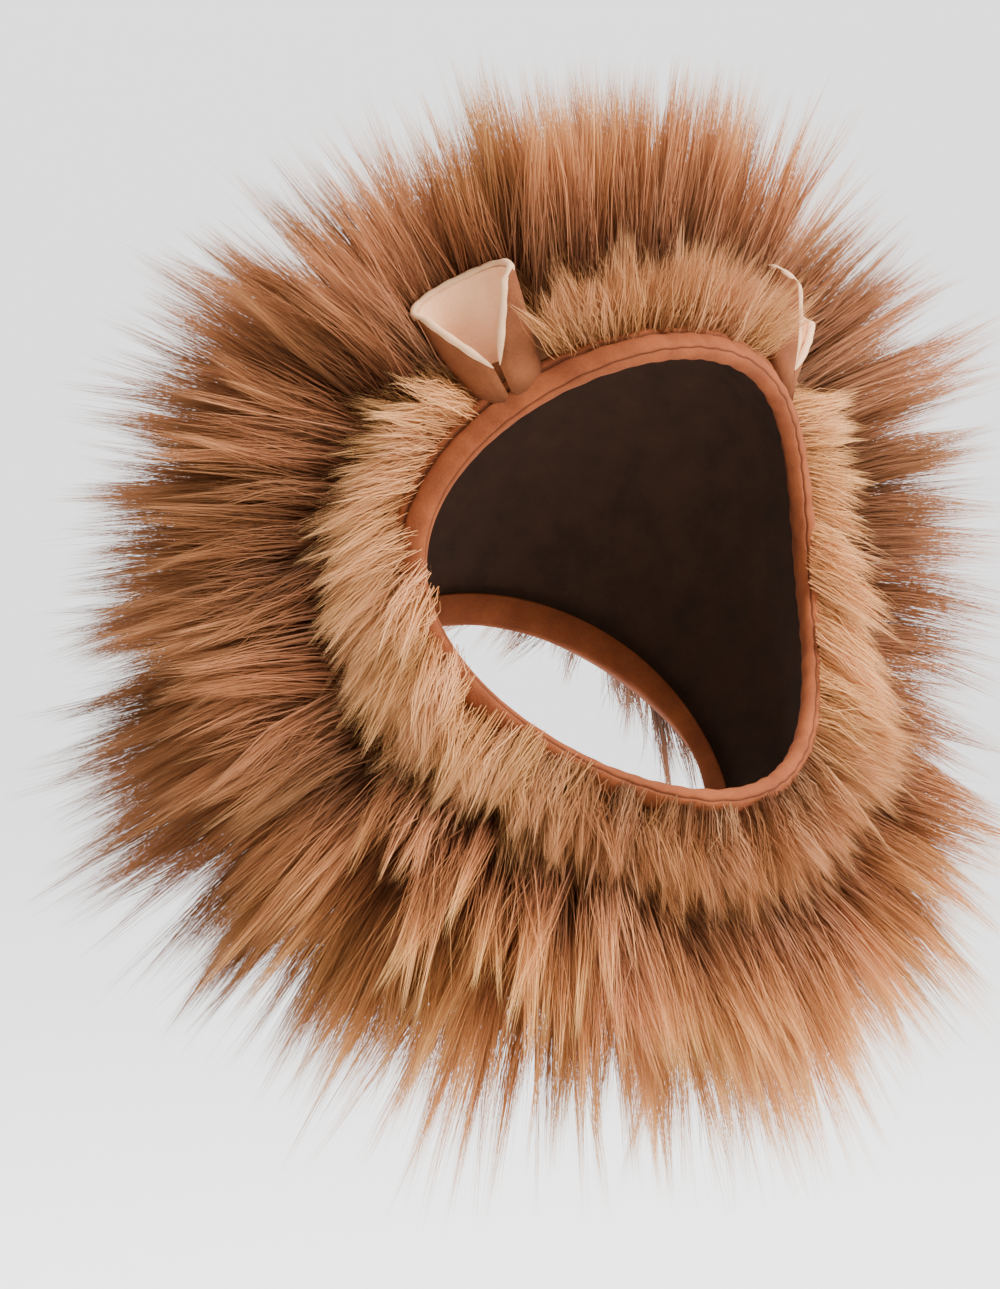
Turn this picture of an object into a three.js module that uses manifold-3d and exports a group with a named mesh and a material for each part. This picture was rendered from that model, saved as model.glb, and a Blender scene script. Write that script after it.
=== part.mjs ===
// A lion's mane wig for a small pet, worn as a pull-on hood. Millimetres, +Z up, and the face looks along -Y.
// A lining hood of three panels is open at the face and at the neck. A short pale fur ruff and a deep brown mane
// cover it, a folded binding edges the face opening, a plain hem edges the neck, and two pinched felt ears stand on
// the ruff.
// The origin is where the inside of the crown rests on the wearer's head.
import * as THREE from 'three';
import { ParametricGeometry } from 'three/addons/geometries/ParametricGeometry.js';
import { mergeVertices } from 'three/addons/utils/BufferGeometryUtils.js';
import Module from 'manifold-3d';

const wasm = await Module();
wasm.setup();

const degrees = Math.PI / 180;

// Hood: three sizes of section, and where the neck opening lies behind and below the face opening
const FACE_HALF_WIDTH = 75;
const FACE_HALF_HEIGHT = 69;
const CROWN_HALF_WIDTH = 81;
const CROWN_HALF_HEIGHT = 84;
const NECK_HALF_WIDTH = 60;
const NECK_HALF_HEIGHT = 65;
const HOOD_DEPTH = 80;
const HOOD_DROP = 60;
const NECK_TILT = 50 * degrees;
const CHEEK_SWEEP = 46; // the cheek edges lie this far behind the brow
const CHIN_REACH = 18; // the chin edge stands this far in front of the brow
const SQUARENESS = 0.06; // how much fuller than an ellipse the crown section is at its corners

// Cloth
const CLEARANCE = 0.3; // between pieces that are sewn together
const HEM_EASE = 0.9; // between the neck hem and the layers inside it
const LINING_WALL = 2.2;
const BACKING_WALL = 2; // the knitted ground of both furs
const BINDING_WALL = 1.9;
const BINDING_LEG = 8; // how far the binding reaches over the lining
const BINDING_ROLL = 3.6; // how far it stands in front of the lining's edge
const ROLL_SHOULDER = 0.75; // share of the roll at which its round front begins
const ROLL_ROUND = 0.18; // share of its thickness that is rounded away on each side there
const BINDING_STRIP = 3.2; // width of the flat strip behind its stitched groove
const BINDING_SEAM = 0.8; // depth and half width of the groove
const HEM_WALL = 1.6;
const HEM_LEG = 9;
const HEM_ROLL = 2.4;
const HEM_ROUND = 0.25; // share of the hem's thickness that is rounded away on each side at its edge

// Fur
const RUFF_WIDTH = 17;
const RUFF_LOCK_RADIUS = 7;
const RUFF_LOCKS = 27;
const MANE_PILE = 80;
const MANE_LOCK_RADIUS = 15;
const MANE_COLUMNS = 17;
const MANE_ROW_SPACING = 32;
const MANE_STAGGER = 5.3 * degrees; // every other row is turned this far from the one before, each way
const LOCK_BELLY = 0.6; // how much wider than its root a lock is at its middle
const LOCK_TAPER = 4; // how late a lock narrows to its tip: 1 would be a cone
const LOCK_ROOT = 0.4; // share of the ground's thickness at which a lock's root lies
const RUFF_SCATTER = { pile: 0.1, lean: 0.06, sway: 0.1 }; // how unlike each other the locks are
const MANE_SCATTER = { pile: 0.1, lean: 0.08, sway: 0.12 };

// Ears
const EAR_HEIGHT = 30;
const EAR_HALF_WIDTH = 18; // at the rim
const EAR_BASE_HALF_WIDTH = 12;
const EAR_BASE_DEPTH = 6;
const EAR_CUP_DEPTH = 11; // at the rim
const EAR_WRAP_FOOT = 0.96; // share of the way round that the sheet is wrapped, at the foot and at the rim
const EAR_WRAP_RIM = 0.6;
const EAR_FLAP_DROP = 0.22; // how much lower the side edges end than the middle of the rim
const EAR_RIM_CURVE = 2.4; // power of the rim's fall from its middle to the side edges
const EAR_FLARE = 0.8; // power of the ear's widening over its height
const EAR_ANGLE = 39.5 * degrees; // round the hood from the middle of the brow
const EAR_SET = 12; // behind the face opening's edge
const EAR_TURN = 42 * degrees; // how far the open side turns outwards
const EAR_SPLAY = 23 * degrees; // how far the ears lean apart
const EAR_RAKE = 14 * degrees; // how far they lean back
const EAR_FELT = 1.5;
const EAR_LINING = 1.1;
const EAR_EASE = 0.7; // between the two, where the ear is bent hardest
const EAR_RIM = 1.2; // how far the felt stands above the lining at the rim
const EAR_FOOT = 9; // stock below the ear's seat, before its foot is cut to the ground
const EAR_ROOM = 1.5; // how far the fur keeps off the ears
const EAR_CLOSENESS = 0.35; // share of a lock's half width that may reach into that space before it is left out

// Facets
const TURN_STEPS = 30;
const MANE_STEPS = 5;
const LOCK_SIDES = 5;
const LOCK_RINGS = 3;
const EAR_ACROSS_STEPS = 14;
const EAR_UP_STEPS = 4;
const EAR_ROOM_SIDES = 12;
const LENGTH_SAMPLES = 40;
const SEAT_SHARE = 0.24; // share of the way back over the crown at which the head touches

// The lining's panels, from one seam to the next in steps of TURN_STEPS round the hood
const PANELS = [
  { name: 'crown', from: -4, to: 4 },
  { name: 'left', from: 4, to: 15 },
  { name: 'right', from: 15, to: 26 },
];

// Sections from the face opening to the neck opening, as shares of the sizes above. The last three columns say how
// much of the face, crown and neck section each row has.
const SECTIONS = [
  { back: 0.0, down: 0.0, tilt: 0.0, face: 1.0, crown: 0.0, neck: 0.0 },
  { back: 0.15, down: 0.0, tilt: 0.08, face: 0.45, crown: 0.55, neck: 0.0 },
  { back: 0.4, down: 0.07, tilt: 0.24, face: 0.0, crown: 1.0, neck: 0.0 },
  { back: 0.62, down: 0.23, tilt: 0.44, face: 0.0, crown: 1.0, neck: 0.0 },
  { back: 0.81, down: 0.5, tilt: 0.68, face: 0.0, crown: 0.68, neck: 0.32 },
  { back: 0.94, down: 0.8, tilt: 0.88, face: 0.0, crown: 0.26, neck: 0.74 },
  { back: 1.0, down: 1.0, tilt: 1.0, face: 0.0, crown: 0.0, neck: 1.0 },
];

// The mane's locks round the head, from the brow to the chin: the first row's length as a share of MANE_PILE, how
// much longer the last row is, the back lean of the first row, how much further back the last row leans, the sway
// towards the chin, and the droop
const MANE_ROUND = [
  { turn: 0, pile: 0.94, rear: 0.0, lean: 0.05, fall: 0.55, sway: 0.0, droop: 0.0 },
  { turn: 50 * degrees, pile: 1.0, rear: 0.06, lean: -0.1, fall: 0.35, sway: 0.1, droop: 0.05 },
  { turn: 95 * degrees, pile: 1.05, rear: 0.12, lean: -0.28, fall: 0.24, sway: 0.18, droop: 0.2 },
  { turn: 140 * degrees, pile: 1.0, rear: 0.12, lean: -0.2, fall: 0.26, sway: 0.08, droop: 0.35 },
  { turn: 180 * degrees, pile: 0.95, rear: 0.04, lean: -0.12, fall: 0.5, sway: 0.0, droop: 0.45 },
];

// The ruff's locks in the same way: their length in millimetres, back lean, sway towards the chin, and droop
const RUFF_ROUND = [
  { turn: 0, pile: 32, lean: 0.0, sway: 0.0, droop: 0.0 },
  { turn: 60 * degrees, pile: 32, lean: 0.1, sway: 0.35, droop: 0.1 },
  { turn: 110 * degrees, pile: 35, lean: 0.0, sway: 0.6, droop: 0.3 },
  { turn: 150 * degrees, pile: 36, lean: -0.2, sway: 0.4, droop: 0.5 },
  { turn: 180 * degrees, pile: 36, lean: -0.2, sway: 0.0, droop: 0.5 },
];

// The value of one column of a table at share t of its rows, on a smooth line through them
function along(rows, column, t) {
  const at = THREE.MathUtils.clamp(t, 0, 1) * (rows.length - 1);
  const row = Math.min(Math.floor(at), rows.length - 2);
  const f = at - row;
  const value = (n) => rows[THREE.MathUtils.clamp(n, 0, rows.length - 1)][column];
  const [a, b, c, d] = [value(row - 1), value(row), value(row + 1), value(row + 2)];
  return b + 0.5 * f * (c - a + f * (2 * a - 5 * b + 4 * c - d + f * (3 * (b - c) + d - a)));
}

// The same for a table whose rows are placed by their turn from the brow
function round(rows, column, turn) {
  const angle = Math.abs(Math.atan2(Math.sin(turn), Math.cos(turn)));
  const next = Math.max(1, rows.findIndex((row) => row.turn >= angle - 1e-9));
  const [low, high] = [rows[next - 1], rows[next]];
  return THREE.MathUtils.mapLinear(angle, low.turn, high.turn, low[column], high[column]);
}

// A fixed scatter from -1 to 1 for a numbered lock
function scatter(number, salt) {
  const wave = Math.sin(number * 12.9898 + salt * 78.233) * 43758.5453;
  return 2 * (wave - Math.floor(wave)) - 1;
}

// A point of the hood's outer face, by turn from the brow and share t of the table's rows
function sectionPoint(turn, t) {
  const size = (face, crown, neck) =>
    along(SECTIONS, 'face', t) * face + along(SECTIONS, 'crown', t) * crown + along(SECTIONS, 'neck', t) * neck;
  const fullness = 1 + SQUARENESS * along(SECTIONS, 'crown', t) * Math.sin(2 * turn) ** 2;
  const aside = size(FACE_HALF_WIDTH, CROWN_HALF_WIDTH, NECK_HALF_WIDTH) * Math.sin(turn) * fullness;
  const up = size(FACE_HALF_HEIGHT, CROWN_HALF_HEIGHT, NECK_HALF_HEIGHT) * Math.cos(turn) * fullness;
  const tilt = NECK_TILT * along(SECTIONS, 'tilt', t);
  const sweep = (1 - t) * (CHEEK_SWEEP * Math.sin(turn) ** 2 - (CHIN_REACH * (1 - Math.cos(turn))) / 2);
  return new THREE.Vector3(
    aside,
    HOOD_DEPTH * along(SECTIONS, 'back', t) + up * Math.sin(tilt) + sweep,
    -HOOD_DROP * along(SECTIONS, 'down', t) + up * Math.cos(tilt),
  );
}

// Running lengths along the hood at each turn, from the face edge to the neck edge
const lengths = new Map();
function lengthsAt(turn) {
  const key = turn.toFixed(6);
  if (!lengths.has(key)) {
    const sums = [0];
    let last = sectionPoint(turn, 0);
    for (let i = 1; i <= LENGTH_SAMPLES; i++) {
      const next = sectionPoint(turn, i / LENGTH_SAMPLES);
      sums.push(sums[i - 1] + next.distanceTo(last));
      last = next;
    }
    lengths.set(key, sums);
  }
  return lengths.get(key);
}
const hoodLength = (turn) => lengthsAt(turn)[LENGTH_SAMPLES];

// A point of the hood's outer face at a distance behind the face edge, carried straight on past either edge
function facePoint(turn, distance) {
  const sums = lengthsAt(turn);
  const inside = THREE.MathUtils.clamp(distance, 0, sums[LENGTH_SAMPLES]);
  const next = Math.max(1, sums.findIndex((sum) => sum >= inside - 1e-9));
  const share = (inside - sums[next - 1]) / (sums[next] - sums[next - 1]);
  const point = sectionPoint(turn, (next - 1 + share) / LENGTH_SAMPLES);
  if (distance === inside) return point;
  const [near, far] = distance < 0 ? [0, 1 / LENGTH_SAMPLES] : [1, 1 - 1 / LENGTH_SAMPLES];
  const outwards = sectionPoint(turn, near).sub(sectionPoint(turn, far)).normalize();
  return point.addScaledVector(outwards, Math.abs(distance - inside));
}

// The point lift above the hood's outer face, with the directions out of it, back along it and round it
function frameAt(turn, distance, lift) {
  const [step, swing] = [0.5, 0.01];
  const back = facePoint(turn, distance + step).sub(facePoint(turn, distance - step)).normalize();
  const across = facePoint(turn + swing, distance).sub(facePoint(turn - swing, distance));
  const perTurn = across.length() / (2 * swing);
  const out = new THREE.Vector3().crossVectors(across, back).normalize();
  across.normalize();
  return { point: facePoint(turn, distance).addScaledVector(out, lift), out, back, across, perTurn };
}

// A closed geometry as a solid, with the seams merged, the empty triangles left out and its faces pointing out
function solidOf(geometry) {
  const bare = geometry.clone();
  bare.deleteAttribute('normal');
  bare.deleteAttribute('uv');
  const merged = mergeVertices(bare, 1e-3);
  const corner = (i) => new THREE.Vector3().fromBufferAttribute(merged.attributes.position, i);
  const corners = [];
  let volume = 0;
  for (let i = 0; i < merged.index.count; i += 3) {
    const [a, b, c] = [0, 1, 2].map((k) => merged.index.getX(i + k));
    if (a === b || b === c || c === a) continue;
    corners.push(a, b, c);
    volume += corner(a).dot(corner(b).cross(corner(c)));
  }
  const triVerts = new Uint32Array(volume > 0 ? corners : corners.reverse());
  return new wasm.Manifold(
    new wasm.Mesh({ numProp: 3, vertProperties: merged.attributes.position.array, triVerts }),
  );
}

const joined = (solids) => solids.reduce((whole, solid) => whole.add(solid));

// The outer shell of a solid, so that pockets closed off between its locks are filled
function outerShell(solid) {
  const { vertProperties, triVerts, numVert } = solid.getMesh();
  const parents = Array.from({ length: numVert }, (_, i) => i);
  const rootOf = (i) => {
    while (parents[i] !== i) i = parents[i];
    return i;
  };
  for (let i = 0; i < triVerts.length; i += 3) {
    const root = rootOf(triVerts[i]);
    parents[rootOf(triVerts[i + 1])] = root;
    parents[rootOf(triVerts[i + 2])] = root;
  }
  const corner = (i) => new THREE.Vector3().fromArray(vertProperties, 3 * i);
  const shells = new Map();
  for (let i = 0; i < triVerts.length; i += 3) {
    const triangle = triVerts.subarray(i, i + 3);
    const [a, b, c] = Array.from(triangle, corner);
    const root = rootOf(triVerts[i]);
    const shell = shells.get(root) ?? { volume: 0, corners: [] };
    shell.volume += a.dot(b.cross(c));
    shell.corners.push(...triangle);
    shells.set(root, shell);
  }
  const outer = [...shells.values()].reduce((most, shell) => (shell.volume > most.volume ? shell : most));
  const kept = new Uint32Array(outer.corners);
  return new wasm.Manifold(new wasm.Mesh({ numProp: 3, vertProperties, triVerts: kept }));
}

// A named mesh of a solid, with its colour and roughness
function meshOf(name, solid, colour, roughness) {
  const { vertProperties, triVerts } = solid.getMesh();
  const geometry = new THREE.BufferGeometry();
  geometry.setAttribute('position', new THREE.BufferAttribute(vertProperties, 3));
  geometry.setIndex(new THREE.BufferAttribute(triVerts, 1));
  geometry.computeVertexNormals();
  const mesh = new THREE.Mesh(geometry, new THREE.MeshStandardMaterial({ color: colour, roughness, metalness: 0 }));
  mesh.name = name;
  return mesh;
}

// The triangles between two rows of corners of an outline. They are split the same way over the hood whichever way
// the outline passes, so that nested layers stay parallel.
function stripIndex(outline, row, nextRow) {
  const corners = outline.length;
  return outline.flatMap(([distance], i) => {
    const [a, d] = [row, nextRow].map((start) => start * corners + i);
    const [b, c] = [row, nextRow].map((start) => start * corners + ((i + 1) % corners));
    const onwards = outline[(i + 1) % corners][0] > distance;
    return onwards ? [a, b, d, b, c, d] : [a, b, c, a, c, d];
  });
}

// A solid from rows of corners and the triangles between them
function rowsSolid(rows, index) {
  const places = rows.flat().flatMap((corner) => corner.toArray());
  const geometry = new THREE.BufferGeometry().setIndex(index);
  return solidOf(geometry.setAttribute('position', new THREE.Float32BufferAttribute(places, 3)));
}

const turnAt = (step) => (2 * Math.PI * step) / TURN_STEPS;
const outlineCorners = (outline, turn) => outline.map(([distance, lift]) => frameAt(turn, distance, lift).point);

// A ring round the hood whose outline, a list of [distance, lift] corners, is worked out at each turn
function ringSolid(outlineAt) {
  const steps = Array.from({ length: TURN_STEPS }, (_, step) => step);
  const rows = steps.map((step) => outlineCorners(outlineAt(turnAt(step)), turnAt(step)));
  const index = steps.flatMap((step) => stripIndex(outlineAt(turnAt(step)), step, (step + 1) % TURN_STEPS));
  return rowsSolid(rows, index);
}

// A part of such a ring from one step to another, drawn back from both seams by half the clearance. The first half
// of the outline's corners lies opposite the second half.
function panelSolid(outlineAt, from, to) {
  const steps = Array.from({ length: to - from + 1 }, (_, i) => from + i);
  const rows = steps.map((step) => outlineCorners(outlineAt(turnAt(step)), turnAt(step)));
  const drawnBack = (edge, next) =>
    edge.map((corner, i) => corner.clone().lerp(next[i], CLEARANCE / 2 / corner.distanceTo(next[i])));
  const last = rows.length - 1;
  const [first, end] = [drawnBack(rows[0], rows[1]), drawnBack(rows[last], rows[last - 1])];
  rows[0] = first;
  rows[last] = end;
  const outline = outlineAt(turnAt(from));
  const corners = outline.length;
  const index = steps.slice(1).flatMap((_, i) => stripIndex(outline, i, i + 1));
  for (let i = 0; i < corners / 2 - 1; i++) {
    const [a, b, c, d] = [i, i + 1, corners - 2 - i, corners - 1 - i];
    const [e, f, g, h] = [a, b, c, d].map((corner) => last * corners + corner);
    index.push(a, c, b, a, d, c, e, f, g, e, g, h);
  }
  return rowsSolid(rows, index);
}

// Where each layer begins and ends: the ruff lies behind the binding's outer leg, and the mane runs from there
// to the neck edge
const furFace = CLEARANCE + BACKING_WALL;
const rootLift = CLEARANCE + BACKING_WALL * LOCK_ROOT;
const ruffStart = BINDING_LEG + CLEARANCE;
const ruffEnd = ruffStart + RUFF_WIDTH;
const maneStart = ruffEnd + CLEARANCE;
const hemStart = (turn) => hoodLength(turn) - HEM_LEG - CLEARANCE;

// The distances at which every layer has its rows of corners, so that the layers' facets lie together
function rowsAt(turn) {
  const mane = Array.from({ length: MANE_STEPS + 1 }, (_, i) =>
    THREE.MathUtils.lerp(maneStart, hemStart(turn), i / MANE_STEPS),
  );
  return [0, ruffStart, (ruffStart + ruffEnd) / 2, ...mane, hoodLength(turn)];
}

// The outline of a cloth wall from one distance to another and between two lifts
function wallOutline(startAt, endAt, inner, outer) {
  return (turn) => {
    const places = [startAt(turn), ...rowsAt(turn), endAt(turn)].map((place) =>
      THREE.MathUtils.clamp(place, startAt(turn), endAt(turn)),
    );
    return [...places.map((place) => [place, outer]), ...places.toReversed().map((place) => [place, inner])];
  };
}

const wallSolid = (...sizes) => ringSolid(wallOutline(...sizes));
const liningPanel = ({ from, to }) => panelSolid(wallOutline(() => 0, hoodLength, -LINING_WALL, 0), from, to);
const ruffGround = () => wallSolid(() => ruffStart, () => ruffEnd, CLEARANCE, furFace);
const maneGround = () => wallSolid(() => maneStart, hoodLength, CLEARANCE, furFace);

// A strip folded over the lining's edge: rolled in front, with a stitched groove in its outer leg
function faceBinding() {
  const [inner, outer] = [-LINING_WALL - CLEARANCE, CLEARANCE];
  const [under, over] = [inner - BINDING_WALL, outer + BINDING_WALL];
  const groove = BINDING_LEG - BINDING_STRIP;
  return ringSolid(() => [
    [BINDING_LEG, over],
    [groove + BINDING_SEAM, over],
    [groove, over - BINDING_SEAM],
    [groove - BINDING_SEAM, over],
    [0, over],
    [-BINDING_ROLL * ROLL_SHOULDER, THREE.MathUtils.lerp(over, under, ROLL_ROUND)],
    [-BINDING_ROLL, (over + under) / 2],
    [-BINDING_ROLL * ROLL_SHOULDER, THREE.MathUtils.lerp(under, over, ROLL_ROUND)],
    [0, under],
    [BINDING_LEG, under],
    [BINDING_LEG, inner],
    [-CLEARANCE, inner],
    [-CLEARANCE, outer],
    [BINDING_LEG, outer],
  ]);
}

// A plain strip folded over the edges of the lining and of the mane's ground
function neckHem() {
  const [inner, outer] = [-LINING_WALL - HEM_EASE, furFace + HEM_EASE];
  const [under, over] = [inner - HEM_WALL, outer + HEM_WALL];
  return ringSolid((turn) => {
    const edge = hoodLength(turn);
    return [
      [edge - HEM_LEG, over],
      [edge + HEM_EASE, over],
      [edge + HEM_ROLL, THREE.MathUtils.lerp(over, under, HEM_ROUND)],
      [edge + HEM_ROLL, THREE.MathUtils.lerp(under, over, HEM_ROUND)],
      [edge + HEM_EASE, under],
      [edge - HEM_LEG, under],
      [edge - HEM_LEG, inner],
      [edge + HEM_EASE, inner],
      [edge + HEM_EASE, outer],
      [edge - HEM_LEG, outer],
    ];
  });
}

// The space that the locks leave for the hem's outer leg
function hemRoom() {
  const end = (turn) => hoodLength(turn) + HEM_ROLL + CLEARANCE;
  return wallSolid(hemStart, end, furFace + CLEARANCE / 2, furFace + HEM_EASE + HEM_WALL + CLEARANCE);
}

// Where an ear stands, as a matrix: side is -1 for the wearer's right ear and 1 for the left
function earMatrix(side) {
  const { point } = frameAt(side * EAR_ANGLE, EAR_SET, furFace + CLEARANCE);
  const up = new THREE.Vector3(side * Math.tan(EAR_SPLAY), Math.tan(EAR_RAKE), 1).normalize();
  const back = new THREE.Vector3(-side * Math.sin(EAR_TURN), Math.cos(EAR_TURN), 0);
  back.addScaledVector(up, -back.dot(up)).normalize();
  return new THREE.Matrix4().makeBasis(new THREE.Vector3().crossVectors(back, up), back, up).setPosition(point);
}
const ears = { right: earMatrix(-1), left: earMatrix(1) };

// An ear's half width and half depth at share up of its height
function earHalves(up) {
  return [
    THREE.MathUtils.lerp(EAR_BASE_HALF_WIDTH, EAR_HALF_WIDTH, up ** EAR_FLARE),
    THREE.MathUtils.lerp(EAR_BASE_DEPTH, EAR_CUP_DEPTH, up),
  ];
}

// An ear is a sheet wrapped round a cup. Its side edges meet in front at the foot and part in a V towards the
// rim, which is highest in the middle. across runs from -1 to 1 between the side edges, and up from 0 at the foot
// to 1 at the rim.
function earPoint(across, up, inset) {
  const rise = up * (1 - EAR_FLAP_DROP * Math.abs(across) ** EAR_RIM_CURVE);
  const angle = across * Math.PI * THREE.MathUtils.lerp(EAR_WRAP_FOOT, EAR_WRAP_RIM, rise);
  const [halfWidth, halfDepth] = earHalves(rise);
  return new THREE.Vector3(
    (halfWidth - inset) * Math.sin(angle),
    (halfDepth - inset) * Math.cos(angle),
    EAR_HEIGHT * rise,
  );
}

// A layer of the ear between two insets from its outer face, as far as a share of the sheet reaches. Its foot is
// cut to the ground's face.
function earSheet(matrix, outer, inner, reach) {
  const loop = 2 * (EAR_UP_STEPS + 1);
  const place = (a, b, target) => {
    const across = (2 * Math.round(b * EAR_ACROSS_STEPS)) / EAR_ACROSS_STEPS - 1;
    const corner = Math.round(a * loop) % loop;
    const outside = corner <= EAR_UP_STEPS;
    const up = (outside ? corner : loop - 1 - corner) / EAR_UP_STEPS;
    const trimmed = THREE.MathUtils.clamp(across, -reach, reach);
    target.copy(earPoint(trimmed, Math.min(up, reach), outside ? outer : inner));
    if (up === 0) target.z = -EAR_FOOT;
    target.applyMatrix4(matrix);
  };
  return solidOf(closeEnds(new ParametricGeometry(place, loop, EAR_ACROSS_STEPS), loop)).subtract(underEars);
}

// A grid geometry whose first and last columns are loops, with both closed by a fan
function closeEnds(geometry, loop) {
  const index = [...geometry.index.array];
  const last = EAR_ACROSS_STEPS * (loop + 1);
  for (let i = 1; i < loop - 1; i++) {
    index.push(0, i + 1, i);
    index.push(last, last + i, last + i + 1);
  }
  return geometry.setIndex(index);
}

// The space that the fur leaves for an ear: its own outline, grown all round
function earRoom(matrix) {
  const room = new THREE.CylinderGeometry(1, 1, 1, EAR_ROOM_SIDES, 2);
  const places = room.attributes.position;
  const corner = new THREE.Vector3();
  for (let i = 0; i < places.count; i++) {
    const up = places.getY(i) + 0.5;
    const [halfWidth, halfDepth] = earHalves(up);
    corner.set(
      (halfWidth + EAR_ROOM) * places.getX(i),
      (halfDepth + EAR_ROOM) * places.getZ(i),
      up === 0 ? -EAR_FOOT : (EAR_HEIGHT + EAR_ROOM) * up,
    );
    corner.applyMatrix4(matrix);
    places.setXYZ(i, corner.x, corner.y, corner.z);
  }
  return solidOf(room).subtract(underEars);
}

// True where a point lies inside the space of either ear, grown by a radius
function meetsEar(point, radius) {
  return Object.values(ears).some((matrix) => {
    const local = point.clone().applyMatrix4(matrix.clone().invert());
    const up = THREE.MathUtils.clamp(local.z / EAR_HEIGHT, 0, 1);
    const [halfWidth, halfDepth] = earHalves(up).map((half) => half + EAR_ROOM + radius);
    const beyond = Math.max(local.z - EAR_HEIGHT - EAR_ROOM, -local.z - EAR_FOOT) > radius;
    return !beyond && Math.hypot(local.x / halfWidth, local.y / halfDepth) < 1;
  });
}

// A pointed lock of fur, as its middle line and half width at share s of its length. Its root lies in the
// ground, and its direction is out of the ground with a lean back, a sway round the hood and a droop.
function lockLine({ turn, distance, pile, radius, lean, sway, droop }) {
  const { point, out, back, across } = frameAt(turn, distance, rootLift);
  const way = out.addScaledVector(back, lean).addScaledVector(across, sway).normalize();
  return (s) => {
    const middle = point.clone().addScaledVector(way, pile * s);
    middle.z -= (droop * pile * s ** 2) / 2;
    return { middle, halfWidth: radius * (1 - s ** LOCK_TAPER) * (1 + LOCK_BELLY * Math.sin(Math.PI * s)) };
  };
}

// The lock as a solid: a cone whose rings follow the middle line, with its root's ring laid along the ground
function lockSolid(lock) {
  const { turn, distance, radius } = lock;
  const line = lockLine(lock);
  const centre = line(0).middle;
  const { perTurn } = frameAt(turn, distance, rootLift);
  const cone = new THREE.ConeGeometry(1, 1, LOCK_SIDES, LOCK_RINGS);
  const places = cone.attributes.position;
  for (let i = 0; i < places.count; i++) {
    const s = places.getY(i) + 0.5;
    const reach = Math.hypot(places.getX(i), places.getZ(i)) || 1;
    const [sine, cosine] = [places.getX(i) / reach, places.getZ(i) / reach];
    const edge = frameAt(turn + (radius * sine) / perTurn, distance + radius * cosine, rootLift).point;
    const { middle, halfWidth } = line(s);
    if (sine || cosine) middle.addScaledVector(edge.sub(centre), halfWidth / radius);
    places.setXYZ(i, middle.x, middle.y, middle.z);
  }
  return solidOf(cone);
}

// Whether a lock's middle line stays clear of both ears
function clearOfEars(lock) {
  const line = lockLine(lock);
  return [0, 0.2, 0.4, 0.6, 0.8, 1].every((s) => {
    const { middle, halfWidth } = line(s);
    return !meetsEar(middle, halfWidth * EAR_CLOSENESS);
  });
}

function ruffLocks() {
  return Array.from({ length: RUFF_LOCKS }, (_, i) => {
    const turn = (2 * Math.PI * (i + 0.5)) / RUFF_LOCKS;
    return {
      turn,
      distance: (ruffStart + ruffEnd) / 2,
      pile: round(RUFF_ROUND, 'pile', turn) * (1 + RUFF_SCATTER.pile * scatter(i, 1)),
      radius: RUFF_LOCK_RADIUS,
      lean: round(RUFF_ROUND, 'lean', turn) + RUFF_SCATTER.lean * scatter(i, 2),
      sway: Math.sign(Math.sin(turn)) * round(RUFF_ROUND, 'sway', turn) + RUFF_SCATTER.sway * scatter(i, 3),
      droop: round(RUFF_ROUND, 'droop', turn),
    };
  }).filter(clearOfEars);
}

function maneLocks() {
  const locks = [];
  for (let column = 0; column < MANE_COLUMNS; column++) {
    const turn = (2 * Math.PI * (column + 0.5)) / MANE_COLUMNS;
    const first = maneStart + MANE_LOCK_RADIUS;
    const last = hemStart(turn) - MANE_LOCK_RADIUS - CLEARANCE;
    const rows = Math.max(1, Math.round((last - first) / MANE_ROW_SPACING));
    for (let row = 0; row <= rows; row++) {
      const number = locks.length;
      const lean = round(MANE_ROUND, 'lean', turn) + round(MANE_ROUND, 'fall', turn) * (row / rows);
      const growth = 1 + round(MANE_ROUND, 'rear', turn) * (row / rows);
      const pile = MANE_PILE * round(MANE_ROUND, 'pile', turn) * growth;
      locks.push({
        turn: turn + MANE_STAGGER * (row % 2 ? 1 : -1),
        distance: THREE.MathUtils.lerp(first, last, row / rows),
        pile: pile * (1 + MANE_SCATTER.pile * scatter(number, 4)),
        radius: MANE_LOCK_RADIUS,
        lean: lean + MANE_SCATTER.lean * scatter(number, 5),
        sway: Math.sign(Math.sin(turn)) * round(MANE_ROUND, 'sway', turn) + MANE_SCATTER.sway * scatter(number, 6),
        droop: round(MANE_ROUND, 'droop', turn),
      });
    }
  }
  return locks.filter(clearOfEars);
}

// Room under the ears: the hood's cloth with its clearance, from well inside it to the fur ground's face
const underEars = wallSolid(() => -BINDING_ROLL, hoodLength, -EAR_FOOT, furFace + CLEARANCE);
const earRooms = joined(Object.values(ears).map(earRoom));

// A fur: its ground with the locks fused to it, cut clear of a room and of the lining below
function furSolid(ground, locks, room) {
  const end = (turn) => hoodLength(turn) + CLEARANCE;
  const underFur = wallSolid(() => -BINDING_ROLL, end, -EAR_FOOT, CLEARANCE / 2);
  return outerShell(joined([ground, ...locks.map(lockSolid)]).subtract(room.add(underFur)));
}

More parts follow.
